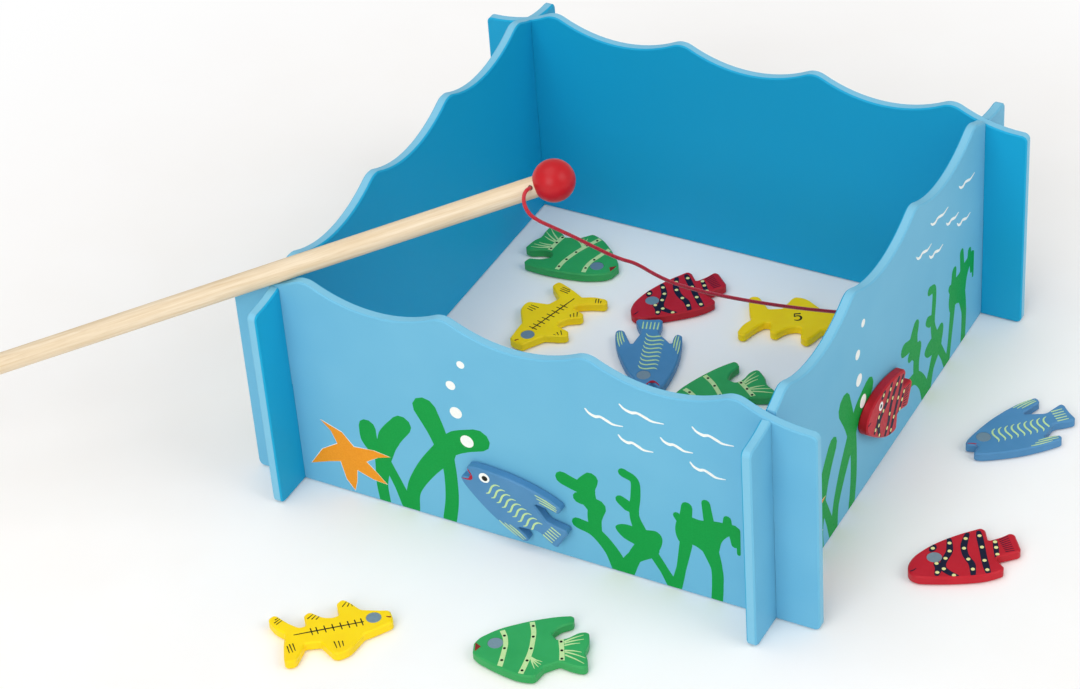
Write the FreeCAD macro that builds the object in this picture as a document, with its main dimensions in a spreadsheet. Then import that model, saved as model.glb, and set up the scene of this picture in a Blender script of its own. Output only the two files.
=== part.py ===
import FreeCAD, Part
import math
import os

# Magnetic fishing game: four crossed panels, fish cut from board, a rod and its cord.
# The frame's origin is the middle of the front panel's foot. X runs along that panel,
# Y points to the back panel and Z is up. All sizes are in millimetres and degrees.

doc = FreeCAD.newDocument("magnetic_fishing_game")

# Driving dimensions

sheet = doc.addObject("Spreadsheet::Sheet", "sizes")
driving = [
    ("board_thickness", 5.0, "board of the panels"),
    ("panel_spacing", 250.0, "between the middles of facing panels"),
    ("panel_overhang", 24.0, "end of a panel beyond the middle of the one it crosses"),
    ("crest_height", 121.0, "top of a crest above the floor"),
    ("scallop_radius", 70.0, "hollow between two crests"),
    ("crest_radius", 10.0, "rounding of a crest"),
    ("panel_corner", 3.0, "rounding of a panel's four corners"),
    ("panel_edge", 0.7, "broken edge of a panel"),
    ("slot_clearance", 0.15, "each side of the board in a halving slot"),
    ("slot_height", 58.0, "where the two halving slots meet"),
    ("slot_gap", 0.2, "left between the ends of two slots"),
    ("fish_thickness", 5.0, "board of the fish"),
    ("fish_edge", 0.7, "broken edge of a fish"),
    ("blue_length", 58.0, "lips to tail tips"),
    ("red_length", 56.3, "nose to tail"),
    ("green_length", 52.6, "lips to tail tips"),
    ("yellow_length", 56.1, "nose to tail tips"),
    ("disc_diameter", 7.0, "steel eye disc"),
    ("disc_thickness", 1.5, "steel eye disc"),
    ("disc_clearance", 0.1, "round the disc in its bore"),
    ("disc_recess", 0.1, "disc below the fish's face"),
    ("rod_diameter", 10.0, "dowel"),
    ("rod_slope", 17.5, "rise of the rod towards its tip"),
    ("rod_bearing", 28.9, "turn of the rod from X towards Y"),
    ("rod_reach", 138.0, "panel crossing to the ball's middle"),
    ("rod_seat", 0.162, "between the rod and the top edge that carries it"),
    ("rod_chamfer", 1.0, "handle end"),
    ("ball_diameter", 20.0, "ball on the tip"),
    ("ball_socket", 13.0, "depth of the ball's bore"),
    ("ball_clearance", 0.05, "round the dowel in the ball"),
    ("cord_diameter", 1.8, "round cord"),
    ("cord_hole_setback", 10.5, "cord hole behind the ball's middle"),
    ("cord_hole_turn", 55.0, "cord hole from the rod's top to its front"),
    ("cord_hole_depth", 3.5, "blind hole for the cord"),
    ("cord_straight", 1.0, "cord above the rod before its first bend"),
    ("cord_clearance", 0.3, "round the cord in its holes"),
    ("cord_lead", 3.0, "straight cord before the bead"),
    ("holder_diameter", 14.0, "turned bead that holds the magnet"),
    ("holder_length", 16.0, "turned bead"),
    ("holder_from_right", 40.5, "cord's end of the bead to the right panel's middle"),
    ("holder_from_back", 31.0, "cord's end of the bead to the back panel's middle"),
    ("holder_bevel", 2.0, "ends of the bead"),
    ("holder_bore_depth", 5.0, "cord hole in the bead"),
    ("magnet_diameter", 8.0, "round magnet"),
    ("magnet_thickness", 3.0, "round magnet"),
    ("magnet_clearance", 0.1, "round the magnet in the bead"),
]
for row, (alias, value, meaning) in enumerate(driving, start=1):
    sheet.set(f"A{row}", alias)
    sheet.set(f"B{row}", str(value))
    sheet.set(f"C{row}", meaning)
    sheet.setAlias(f"B{row}", alias)
doc.recompute()


def size(alias):
    return float(sheet.get(alias))


# Fish outlines: nose to -X, tail to +X, back to +Y. The yellow one lies with its back to -Y.
# Each corner is (x, y, radius). None rounds a corner as far as its two sides allow.

softly = None
blue_outline = [
    (-23.3, -0.2, 0.9), (-28.4, 3.6, 1.5), (-25.2, 6.6, softly), (-18.5, 9.8, softly),
    (-8.0, 14.0, softly), (4.0, 17.0, softly), (13.5, 18.2, softly), (21.0, 17.6, 1.8),
    (20.2, 13.6, 1.5), (14.5, 12.0, softly), (7.2, 9.9, 0.9), (12.5, 7.6, softly),
    (18.0, 4.6, softly), (22.5, 6.0, softly), (29.6, 7.9, 1.8), (28.2, 0.6, softly),
    (28.4, -6.6, 1.8), (21.5, -5.4, softly), (16.6, -3.8, softly), (11.5, -7.6, softly),
    (6.0, -10.4, 0.9), (12.5, -11.6, softly), (15.4, -13.0, 1.5), (13.8, -16.0, 1.8),
    (4.0, -15.4, softly), (-8.0, -13.2, softly), (-18.5, -9.6, softly), (-25.4, -6.6, softly),
    (-28.6, -3.8, 1.5),
]
red_outline = [
    (-27.4, 0.5, softly), (-25.6, 5.6, softly), (-20.5, 10.4, softly), (-10.0, 14.6, softly),
    (3.0, 16.6, softly), (17.9, 16.6, 2.5), (15.4, 7.1, 1.0), (22.0, 7.0, softly),
    (28.9, 8.6, 2.5), (26.4, -5.6, 2.5), (13.2, -4.9, 1.0), (14.6, -14.2, 2.5),
    (5.0, -14.8, softly), (-6.0, -11.8, softly), (-17.0, -7.6, softly), (-25.0, -3.8, softly),
]
green_outline = [
    (-27.2, 3.0, 1.5), (-25.2, 6.8, softly), (-17.5, 12.8, softly), (-5.0, 18.0, softly),
    (7.0, 21.4, softly), (17.0, 22.6, 3.0), (16.6, 17.4, 1.6), (10.4, 14.4, softly),
    (7.4, 10.0, 1.8), (10.0, 6.2, 1.6), (14.5, 7.2, softly), (20.0, 11.6, softly),
    (24.4, 11.6, 2.0), (24.9, 3.5, softly), (23.3, -1.1, softly), (25.4, -7.4, softly),
    (25.4, -12.4, 2.4), (19.5, -11.4, softly), (12.6, -8.0, 1.6), (6.0, -11.8, 2.4),
    (2.2, -18.6, 2.6), (-5.0, -17.8, softly), (-14.5, -13.0, softly), (-24.5, -6.2, softly),
    (-27.2, -3.0, 1.5),
]
yellow_outline = [
    (-27.2, 3.5, softly), (-26.6, 6.6, 2.5), (-18.0, 9.4, softly), (-12.6, 10.8, 3.0),
    (-4.2, 19.8, softly), (2.6, 21.0, 3.4), (7.4, 10.6, 1.6), (14.6, 9.6, 1.6),
    (17.2, 14.6, softly), (20.4, 20.0, 2.8), (25.6, 19.6, 2.8), (24.2, 8.0, softly),
    (22.3, 0.6, 1.8), (26.4, -4.0, softly), (28.9, -11.4, 2.8), (25.0, -13.6, 2.0),
    (20.0, -6.2, softly), (15.2, -1.6, 2.4), (12.4, -2.3, 1.2), (12.2, -9.4, 2.4),
    (9.2, -11.2, 2.2), (4.0, -5.6, softly), (-1.0, -4.2, softly), (-3.6, -5.4, 1.4),
    (-3.6, -13.0, 2.4), (-6.6, -15.8, 2.4), (-9.8, -12.4, softly), (-13.8, -6.1, 3.0),
    (-21.0, -3.6, softly), (-26.6, -2.0, 2.0),
]

# Each sort: outline, the alias of its length, and the middle of its eye
fish_sorts = {
    "blue": (blue_outline, "blue_length", (-17.7, 4.0)),
    "red": (red_outline, "red_length", (-12.2, 5.7)),
    "green": (green_outline, "green_length", (-17.5, 3.0)),
    "yellow": (yellow_outline, "yellow_length", (-18.6, 1.3)),
}

# Loose fish: name, sort, where it is measured from, middle (X and Y), turn of its tail from +X
loose_fish = [
    ("green_fish_back", "green", "back_left", 40.6, -41.0, 168.2),
    ("yellow_fish_left", "yellow", "back_left", 57.4, -96.3, 75.4),
    ("red_fish_inside", "red", "back_left", 108.3, -56.0, 58.2),
    ("blue_fish_inside", "blue", "back_left", 116.0, -103.2, 117.0),
    ("yellow_fish_turned", "yellow", "back_left", 171.6, -50.7, 199.5),
    ("green_fish_right", "green", "back_left", 162.7, -119.5, 47.0),
    ("yellow_fish_front", "yellow", "front_middle", -53.3, -91.5, 219.9),
    ("green_fish_front", "green", "front_middle", 38.3, -69.1, 22.4),
    ("red_fish_outside", "red", "front_right", 66.3, 64.7, 46.2),
    ("blue_fish_outside", "blue", "front_right", 56.0, 161.9, 53.3),
]
upside_down = ["yellow_fish_turned"]

# Panels: turn about Z, and whether the slots open at the foot
panels = {
    "front_panel": (0.0, True),
    "right_panel": (90.0, False),
    "back_panel": (180.0, True),
    "left_panel": (270.0, False),
}
# Glued fish: name, sort, panel, place along it and above the floor, slope
glued_fish = [
    ("front_blue_fish", "blue", "front_panel", -4.0, 26.0, -27.0),
    ("right_red_fish", "red", "right_panel", -9.0, 34.7, -18.3),
    ("back_green_fish", "green", "back_panel", -3.0, 33.0, -18.0),
    ("left_yellow_fish", "yellow", "left_panel", -3.0, 33.0, 160.0),
]

# The cord's route: out of its hole, a tight loop over the rod's end, then one long sag to
# the bead behind the right panel. Its two ends follow the rod and the bead.
cord_route = [
    (-18.2, 57.6, 160.2), (-17.1, 54.0, 162.7), (-17.3, 49.3, 163.2), (-17.3, 47.6, 158.6),
    (-15.0, 47.9, 152.6), (-11.6, 50.6, 148.0), (-8.4, 57.1, 141.2), (-2.9, 66.6, 131.0),
    (4.7, 79.9, 115.8), (9.2, 87.7, 107.6), (13.2, 94.7, 101.9), (19.0, 104.9, 89.0),
    (25.5, 116.1, 77.4), (37.0, 136.2, 61.0), (52.0, 162.4, 42.0), (66.0, 186.8, 25.8),
    (77.8, 207.5, 13.0), (84.5, 219.0, 7.0),
]
cord_loop_points = 7
holder_turn = 60.0
cord_bend = 0.45
outline_bend = 0.49


# Shapes

def rounded_corner(before, corner, after, share, radius=None):
    """The arc that rounds a corner, no longer than a share of its shorter side."""
    to_before = before - corner
    to_after = after - corner
    half_turn = (math.pi - to_before.getAngle(to_after)) / 2
    back = share * min(to_before.Length, to_after.Length)
    if radius is not None:
        back = min(radius * math.tan(half_turn), back)
    radius = back / math.tan(half_turn)
    start = corner + to_before.normalize() * back
    end = corner + to_after.normalize() * back
    chord_middle = (start + end) * 0.5
    outward = (corner - chord_middle).normalize()
    middle = chord_middle + outward * radius * (1 - math.cos(half_turn))
    return start, middle, end, radius


def corner_arcs(corners, scale):
    points = [FreeCAD.Vector(x, y, 0) * scale for x, y, _ in corners]
    arcs = []
    for index, (_, _, radius) in enumerate(corners):
        after = points[(index + 1) % len(points)]
        scaled = None if radius is None else radius * scale
        arc = rounded_corner(points[index - 1], points[index], after, outline_bend, scaled)
        arcs.append(arc[:3])
    return arcs


def add_outline(sketch, corners, scale):
    arcs = corner_arcs(corners, scale)
    for index, (start, middle, end) in enumerate(arcs):
        next_start = arcs[(index + 1) % len(arcs)][0]
        sketch.addGeometry(Part.Arc(start, middle, end), False)
        sketch.addGeometry(Part.LineSegment(end, next_start), False)


def new_body(label):
    body = doc.addObject("PartDesign::Body", label)
    body.Label = label
    return body


def new_sketch(body, role, name):
    sketch = body.newObject("Sketcher::SketchObject", name)
    plane = [item for item in body.Origin.OriginFeatures if item.Role == role][0]
    sketch.AttachmentSupport = (plane, [""])
    sketch.MapMode = "FlatFace"
    return sketch


def new_pad(body, sketch, name, length):
    pad = body.newObject("PartDesign::Pad", name)
    pad.Profile = sketch
    pad.setExpression("Length", length)
    return pad


def faces_along(shape, direction):
    """Names of the flat faces that look along a direction or against it."""
    names = []
    for index, face in enumerate(shape.Faces, start=1):
        if face.Surface.TypeId == "Part::GeomPlane":
            if abs(abs(face.normalAt(0, 0).dot(direction)) - 1) < 1e-6:
                names.append(f"Face{index}")
    return names


def break_edges(body, feature, direction, name, width):
    doc.recompute()
    chamfer = body.newObject("PartDesign::Chamfer", name)
    chamfer.Base = (feature, faces_along(feature.Shape, direction))
    chamfer.setExpression("Size", width)
    return chamfer


def wave_pitch():
    """From crest to crest: four waves fill a panel between its rounded ends."""
    return (size("panel_spacing") / 2 + size("panel_overhang") - size("panel_corner")) / 2


def wave_edge(sketch):
    """Scallops and crests from one end of a panel to the other, and where they start and end."""
    hollow = size("scallop_radius")
    crest = size("crest_radius")
    pitch = wave_pitch()
    rise = math.sqrt((hollow + crest) ** 2 - (pitch / 2) ** 2)
    crest_centre = size("crest_height") - crest
    hollow_centre = crest_centre + rise
    low = hollow_centre - hollow
    share = hollow / (hollow + crest)
    for trough in range(-2, 3):
        middle = FreeCAD.Vector(trough * pitch, hollow_centre, 0)
        lowest = FreeCAD.Vector(middle.x, low, 0)
        left = FreeCAD.Vector(middle.x - share * pitch / 2, hollow_centre - share * rise, 0)
        right = FreeCAD.Vector(middle.x + share * pitch / 2, left.y, 0)
        if trough > -2:
            sketch.addGeometry(arc_about(middle, hollow, left, lowest), False)
        if trough < 2:
            sketch.addGeometry(arc_about(middle, hollow, lowest, right), False)
            top = FreeCAD.Vector(middle.x + pitch / 2, crest_centre + crest, 0)
            next_left = FreeCAD.Vector(middle.x + pitch - share * pitch / 2, left.y, 0)
            sketch.addGeometry(Part.Arc(right, top, next_left), False)
    return 2 * pitch, low


def arc_about(centre, radius, start, end):
    towards = ((start + end) * 0.5 - centre).normalize()
    return Part.Arc(start, centre + towards * radius, end)


def make_panel(label, turn, slots_at_foot):
    body = new_body(label)
    profile = new_sketch(body, "XZ_Plane", label + "_profile")
    half, low = wave_edge(profile)
    corner = size("panel_corner")
    bevel = corner * (1 - math.sqrt(0.5))
    vector = FreeCAD.Vector
    for side in (-1, 1):
        profile.addGeometry(Part.Arc(
            vector(side * half, low, 0),
            vector(side * (half + corner - bevel), low - bevel, 0),
            vector(side * (half + corner), low - corner, 0)), False)
        profile.addGeometry(Part.LineSegment(
            vector(side * (half + corner), low - corner, 0),
            vector(side * (half + corner), corner, 0)), False)
        profile.addGeometry(Part.Arc(
            vector(side * (half + corner), corner, 0),
            vector(side * (half + corner - bevel), bevel, 0),
            vector(side * half, 0, 0)), False)
    profile.addGeometry(Part.LineSegment(vector(-half, 0, 0), vector(half, 0, 0)), False)
    pad = new_pad(body, profile, label + "_board", "sizes.board_thickness")
    pad.Midplane = True
    break_edges(body, pad, vector(0, 1, 0), label + "_edges", "sizes.panel_edge")

    slots = new_sketch(body, "XZ_Plane", label + "_slot_lines")
    width = size("board_thickness") + 2 * size("slot_clearance")
    meeting = size("slot_height")
    bottom, top = -corner, meeting
    if not slots_at_foot:
        bottom, top = meeting - size("slot_gap"), size("crest_height") + corner
    for side in (-1, 1):
        middle = side * size("panel_spacing") / 2
        points = [
            vector(middle - width / 2, bottom, 0), vector(middle + width / 2, bottom, 0),
            vector(middle + width / 2, top, 0), vector(middle - width / 2, top, 0),
        ]
        for index, point in enumerate(points):
            slots.addGeometry(Part.LineSegment(points[index - 1], point), False)
    pocket = body.newObject("PartDesign::Pocket", label + "_slots")
    pocket.Profile = slots
    pocket.Type = "ThroughAll"
    pocket.Midplane = True
    body.Tip = pocket

    spacing = size("panel_spacing") / 2
    middle = vector(0, spacing, 0)
    rotation = FreeCAD.Rotation(vector(0, 0, 1), turn)
    place = middle + rotation.multVec(vector(0, -spacing, 0))
    body.Placement = FreeCAD.Placement(place, rotation)
    return body


def make_fish_board(label, sort, eye_bore):
    corners, length_alias, eye = fish_sorts[sort]
    extent = max(corner[0] for corner in corners) - min(corner[0] for corner in corners)
    scale = size(length_alias) / extent
    body = new_body(label)
    outline = new_sketch(body, "XY_Plane", label + "_outline")
    add_outline(outline, corners, scale)
    pad = new_pad(body, outline, label + "_board", "sizes.fish_thickness")
    up = FreeCAD.Vector(0, 0, 1)
    body.Tip = break_edges(body, pad, up, label + "_edges", "sizes.fish_edge")
    eye_middle = FreeCAD.Vector(*eye, 0) * scale
    if eye_bore:
        ring = new_sketch(body, "XY_Plane", label + "_eye_ring")
        ring.setExpression("AttachmentOffset.Base.z", "sizes.fish_thickness")
        radius = size("disc_diameter") / 2 + size("disc_clearance")
        ring.addGeometry(Part.Circle(eye_middle, FreeCAD.Vector(0, 0, 1), radius), False)
        pocket = body.newObject("PartDesign::Pocket", label + "_eye_bore")
        pocket.Profile = ring
        pocket.setExpression("Length", "sizes.disc_thickness + sizes.disc_recess")
        body.Tip = pocket
    return body, eye_middle


def pond_point(name):
    """Where two panels cross, or the middle of a panel's foot."""
    spacing = size("panel_spacing")
    across = {"left": -spacing / 2, "middle": 0, "right": spacing / 2}
    along = {"front": 0, "back": spacing}
    depth, side = name.split("_")
    return FreeCAD.Vector(across[side], along[depth], 0)


def make_loose_fish(label, sort, measured_from, x, y, turn):
    body, eye_middle = make_fish_board(label, sort, True)
    rotation = FreeCAD.Rotation(FreeCAD.Vector(0, 0, 1), turn)
    middle = pond_point(measured_from) + FreeCAD.Vector(x, y, 0)
    place = FreeCAD.Placement(middle, rotation)
    if label in upside_down:
        over = FreeCAD.Rotation(FreeCAD.Vector(1, 0, 0), 180)
        lifted = FreeCAD.Vector(0, 0, size("fish_thickness"))
        place = place.multiply(FreeCAD.Placement(lifted, over))
    body.Placement = place

    disc = doc.addObject("Part::Cylinder", label + "_disc")
    disc.Label = label + "_disc"
    disc.setExpression("Radius", "sizes.disc_diameter / 2")
    disc.setExpression("Height", "sizes.disc_thickness")
    seat = size("fish_thickness") - size("disc_thickness") - size("disc_recess")
    at_eye = FreeCAD.Vector(eye_middle.x, eye_middle.y, seat)
    disc.Placement = place.multiply(FreeCAD.Placement(at_eye, FreeCAD.Rotation()))
    return [body, disc]


def make_glued_fish(label, sort, panel, along, height, slope):
    body, _ = make_fish_board(label, sort, False)
    vector = FreeCAD.Vector
    spacing = size("panel_spacing") / 2
    turned = FreeCAD.Rotation(vector(0, 0, 1), panels[panel][0])
    upright = FreeCAD.Rotation(vector(1, 0, 0), 90)
    sloped = FreeCAD.Rotation(vector(0, 0, 1), slope)
    out = spacing + size("board_thickness") / 2
    place = vector(0, spacing, 0) + turned.multVec(vector(along, -out, height))
    body.Placement = FreeCAD.Placement(place, turned.multiply(upright).multiply(sloped))
    return body


# The rod lies over the crossing of the front and left panels. Its seat is looked for
# along both top edges, this far to each side of the crossing.

seat_reach = 30.0
seat_steps = 120


def top_edge_height(from_middle):
    """Height of a panel's top edge, at a distance from the panel's middle."""
    hollow, crest, pitch = size("scallop_radius"), size("crest_radius"), wave_pitch()
    crest_centre = size("crest_height") - crest
    rise = math.sqrt((hollow + crest) ** 2 - (pitch / 2) ** 2)
    from_middle = min(abs(from_middle), 2 * pitch)  # level from the last trough outwards
    from_trough = abs(from_middle - pitch * round(from_middle / pitch))
    if from_trough < hollow / (hollow + crest) * pitch / 2:
        return crest_centre + rise - math.sqrt(hollow ** 2 - from_trough ** 2)
    return crest_centre + math.sqrt(crest ** 2 - (pitch / 2 - from_trough) ** 2)


def rod_height():
    """The rod's axis above the crossing, where the nearer top edge is its seat away."""
    radius = size("rod_diameter") / 2
    slope, bearing = math.radians(size("rod_slope")), math.radians(size("rod_bearing"))
    middle_to_corner = size("panel_spacing") / 2
    half_board, edge = size("board_thickness") / 2, size("panel_edge")
    flat = half_board - edge
    needed = []
    for step in range(-seat_steps, seat_steps + 1):
        inward = step * seat_reach / seat_steps
        top = top_edge_height(middle_to_corner - inward)
        for across, drop in ((-half_board, edge), (-flat, 0), (0, 0), (flat, 0), (half_board, edge)):
            places = [(inward, across)]
            if abs(inward) > half_board + size("slot_clearance"):
                places.append((across, inward))
            for x, y in places:
                ahead = x * math.cos(bearing) + y * math.sin(bearing)
                aside = y * math.cos(bearing) - x * math.sin(bearing)
                if abs(aside) < radius:
                    below_axis = math.sqrt(radius ** 2 - aside ** 2) / math.cos(slope)
                    needed.append(top - drop + below_axis - ahead * math.tan(slope))
    return max(needed) + size("rod_seat")


# The rod's frame: its Z axis runs up the rod from the crossing of the front and left panels

def rod_frame():
    vector = FreeCAD.Vector
    slope = size("rod_slope")
    height = rod_height()
    bearing = FreeCAD.Rotation(vector(0, 0, 1), size("rod_bearing"))
    tilt = FreeCAD.Rotation(vector(0, 1, 0), 90 - slope)
    roll = FreeCAD.Rotation(vector(0, 0, 1), 180 + size("cord_hole_turn"))
    rotation = bearing.multiply(tilt).multiply(roll)
    corner = vector(-size("panel_spacing") / 2, 0, height)
    return FreeCAD.Placement(corner, rotation)


def along_rod(distance):
    return rod_frame().multiply(FreeCAD.Placement(FreeCAD.Vector(0, 0, distance), FreeCAD.Rotation()))


def make_rod():
    slope = math.radians(size("rod_slope"))
    radius = size("rod_diameter") / 2
    handle = (rod_frame().Base.z - radius * math.cos(slope)) / math.sin(slope) + size("rod_chamfer")
    past_ball_middle = size("ball_socket") - size("ball_diameter") / 2 - size("ball_clearance")
    tip = size("rod_reach") + past_ball_middle

    dowel = doc.addObject("Part::Cylinder", "rod_dowel")
    dowel.setExpression("Radius", "sizes.rod_diameter / 2")
    dowel.Height = handle + tip
    dowel.Placement = along_rod(-handle)
    doc.recompute()
    eased = doc.addObject("Part::Chamfer", "rod_eased")
    eased.Base = dowel
    chamfer = size("rod_chamfer")
    lower_end = along_rod(-handle).Base
    rims = [
        (index, chamfer, chamfer) for index, edge in enumerate(dowel.Shape.Edges, start=1)
        if edge.Curve.TypeId == "Part::GeomCircle" and (edge.Curve.Center - lower_end).Length < radius
    ]
    eased.Edges = rims

    hole = doc.addObject("Part::Cylinder", "rod_cord_hole")
    hole.setExpression("Radius", "sizes.cord_diameter / 2 + sizes.cord_clearance")
    hole.setExpression("Height", "sizes.cord_hole_depth + sizes.rod_diameter")
    inner = radius - size("cord_hole_depth")
    hole.Placement = cord_hole_frame(inner)
    rod = doc.addObject("Part::Cut", "rod")
    rod.Base = eased
    rod.Tool = hole
    rod.Label = "rod"
    return rod


def cord_hole_frame(outward):
    """A frame whose Z axis points out of the cord's hole, a distance from the rod's axis."""
    vector = FreeCAD.Vector
    sideways = FreeCAD.Rotation(vector(0, 1, 0), 90)
    centre = along_rod(size("rod_reach") - size("cord_hole_setback"))
    return centre.multiply(FreeCAD.Placement(vector(outward, 0, 0), sideways))


def make_ball():
    ball = doc.addObject("Part::Sphere", "ball_turning")
    ball.setExpression("Radius", "sizes.ball_diameter / 2")
    ball.Placement = along_rod(size("rod_reach"))
    socket = doc.addObject("Part::Cylinder", "ball_socket_cut")
    socket.setExpression("Radius", "sizes.rod_diameter / 2 + sizes.ball_clearance")
    socket.setExpression("Height", "sizes.ball_diameter + sizes.ball_socket")
    depth_from_middle = size("ball_socket") - size("ball_diameter") / 2
    start = size("rod_reach") + depth_from_middle - size("ball_diameter") - size("ball_socket")
    socket.Placement = along_rod(start)
    cut = doc.addObject("Part::Cut", "rod_ball")
    cut.Base = ball
    cut.Tool = socket
    cut.Label = "rod_ball"
    return cut


def cord_corners():
    """The route with its first points moved with the rod, its last with the bead."""
    vector = FreeCAD.Vector
    route = [vector(*point) for point in cord_route]
    inside = size("rod_diameter") / 2 - size("cord_hole_depth")
    clear = size("rod_diameter") / 2 + size("cord_straight")
    start = cord_hole_frame(inside).Base
    at_rod = start - route[0]
    at_bead = holder_entry() - route[-1]
    corners = [start, cord_hole_frame(clear).Base]
    sag = len(route) - cord_loop_points
    for index, point in enumerate(route[2:], start=2):
        share = max(0, index - cord_loop_points + 1) / sag
        corners.append(point + at_rod * (1 - share) + at_bead * share)
    corners.append(in_holder(size("holder_bore_depth")).Base)
    return corners


def make_cord():
    """Straight runs joined by tangent arcs, as large as the two runs allow."""
    points = cord_corners()
    pieces = []
    radii = []
    last = points[0]
    for before, corner, after in zip(points, points[1:], points[2:]):
        start, middle, end, radius = rounded_corner(before, corner, after, cord_bend)
        radii.append(round(radius, 1))
        pieces.append(Part.LineSegment(last, start).toShape())
        pieces.append(Part.Arc(start, middle, end).toShape())
        last = end
    pieces.append(Part.LineSegment(last, points[-1]).toShape())
    path = Part.Wire(pieces)
    radius = size("cord_diameter") / 2
    section = Part.Wire(Part.Circle(points[0], points[1] - points[0], radius).toShape())
    tube = path.makePipeShell([section], True, False)
    expected = math.pi * radius ** 2 * path.Length
    print("cord radii", radii)
    print("cord length", round(path.Length, 1), "volume share", round(tube.Volume / expected, 4))
    cord = doc.addObject("Part::Feature", "cord")
    cord.Label = "cord"
    cord.Shape = tube
    return cord


def holder_entry():
    """The cord's last bend, just before the bead."""
    back_right = pond_point("back_right")
    inset = FreeCAD.Vector(-size("holder_from_right"), -size("holder_from_back"), 0)
    return back_right + inset + FreeCAD.Vector(0, 0, size("holder_diameter") / 2)


def holder_frame():
    """The bead lies on its side, with its Z axis pointing away from the cord."""
    turned = FreeCAD.Rotation(FreeCAD.Vector(0, 0, 1), holder_turn)
    lying = FreeCAD.Rotation(FreeCAD.Vector(0, 1, 0), 90)
    ahead = turned.multVec(FreeCAD.Vector(size("cord_lead"), 0, 0))
    return FreeCAD.Placement(holder_entry() + ahead, turned.multiply(lying))


def make_holder():
    turning = doc.addObject("Part::Cylinder", "holder_turning")
    turning.setExpression("Radius", "sizes.holder_diameter / 2")
    turning.setExpression("Height", "sizes.holder_length")
    turning.Placement = holder_frame()
    doc.recompute()
    bevelled = doc.addObject("Part::Chamfer", "holder_bevelled")
    bevelled.Base = turning
    bevel = size("holder_bevel")
    bevelled.Edges = [
        (index, bevel, bevel) for index, edge in enumerate(turning.Shape.Edges, start=1)
        if edge.Curve.TypeId == "Part::GeomCircle"
    ]
    cord_hole = doc.addObject("Part::Cylinder", "holder_cord_hole")
    cord_hole.setExpression("Radius", "sizes.cord_diameter / 2 + sizes.cord_clearance")
    cord_hole.setExpression("Height", "sizes.holder_bore_depth + sizes.holder_bevel")
    cord_hole.Placement = in_holder(-bevel)
    seat = doc.addObject("Part::Cylinder", "holder_seat")
    seat.setExpression("Radius", "sizes.magnet_diameter / 2 + sizes.magnet_clearance")
    seat.setExpression("Height", "sizes.magnet_thickness + sizes.holder_bevel")
    seat.Placement = in_holder(size("holder_length") - size("magnet_thickness"))
    drilled = doc.addObject("Part::Cut", "holder_drilled")
    drilled.Base = bevelled
    drilled.Tool = cord_hole
    holder = doc.addObject("Part::Cut", "magnet_holder")
    holder.Base = drilled
    holder.Tool = seat
    holder.Label = "magnet_holder"
    return holder


def in_holder(distance):
    step = FreeCAD.Placement(FreeCAD.Vector(0, 0, distance), FreeCAD.Rotation())
    return holder_frame().multiply(step)


def make_magnet():
    magnet = doc.addObject("Part::Cylinder", "magnet")
    magnet.Label = "magnet"
    magnet.setExpression("Radius", "sizes.magnet_diameter / 2")
    magnet.setExpression("Height", "sizes.magnet_thickness")
    magnet.Placement = in_holder(size("holder_length") - size("magnet_thickness"))
    return magnet


# Build

subparts = [make_panel(label, *facts) for label, facts in panels.items()]
subparts += [make_glued_fish(*facts) for facts in glued_fish]
for facts in loose_fish:
    subparts += make_loose_fish(*facts)
subparts += [make_rod(), make_ball(), make_cord(), make_holder(), make_magnet()]
doc.recompute()

# Check and export

for item in doc.Objects:
    if "Invalid" in item.State or "Error" in item.State:
        raise RuntimeError(f"{item.Label} failed: {item.State}")
os.makedirs("parts", exist_ok=True)
for item in subparts:
    shape = item.Shape
    if shape.isNull() or not shape.isValid():
        raise RuntimeError(f"{item.Label} has no valid shape")
    shape.exportStep(f"parts/{item.Label}.step")
    print(item.Label, "volume", round(shape.Volume, 1), "solids", len(shape.Solids))
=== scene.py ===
import math
import bpy
from mathutils import Matrix, Vector
from mathutils.bvhtree import BVHTree
from mathutils.geometry import tessellate_polygon


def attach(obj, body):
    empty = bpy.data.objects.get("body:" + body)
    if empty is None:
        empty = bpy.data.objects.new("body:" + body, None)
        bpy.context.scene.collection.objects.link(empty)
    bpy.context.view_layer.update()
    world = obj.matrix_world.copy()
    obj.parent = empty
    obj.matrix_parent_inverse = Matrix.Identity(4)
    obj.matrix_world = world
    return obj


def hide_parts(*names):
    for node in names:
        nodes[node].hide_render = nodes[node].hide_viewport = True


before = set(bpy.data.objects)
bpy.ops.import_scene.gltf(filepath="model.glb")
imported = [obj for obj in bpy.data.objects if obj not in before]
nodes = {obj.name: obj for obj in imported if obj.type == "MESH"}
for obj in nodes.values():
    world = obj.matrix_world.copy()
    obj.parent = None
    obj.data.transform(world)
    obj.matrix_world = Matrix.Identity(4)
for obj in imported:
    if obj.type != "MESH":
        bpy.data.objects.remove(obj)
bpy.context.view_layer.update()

mm = 0.001
perMm = 1000.0  # a pattern's scale is this over its size in mm
pondSpacing = 250.0  # mm, between the middles of facing panels
boardThickness = 5.0  # mm, panels and fish
print("frame loaded,", len(nodes), "nodes")


# Small helpers

patternFine = 0.55  # how strong a noise pattern's finer detail is
patternLow, patternHigh = 0.3, 0.7  # a noise pattern lies between these nearly everywhere


def hexToLinear(text):  # by the sRGB curve
    parts = [int(text[i:i + 2], 16) / 255 for i in (1, 3, 5)]
    return [c / 12.92 if c <= 0.04045 else ((c + 0.055) / 1.055) ** 2.4 for c in parts] + [1.0]


def addNode(tree, kind, sockets=None, **settings):
    # sockets gives each input, by name or number, a value or the output that feeds it
    node = tree.nodes.new(kind)
    for key, value in settings.items():
        setattr(node, key, value)
    for key, value in (sockets or {}).items():
        if isinstance(value, bpy.types.NodeSocket):
            tree.links.new(value, node.inputs[key])
        else:
            node.inputs[key].default_value = value
    return node


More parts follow.
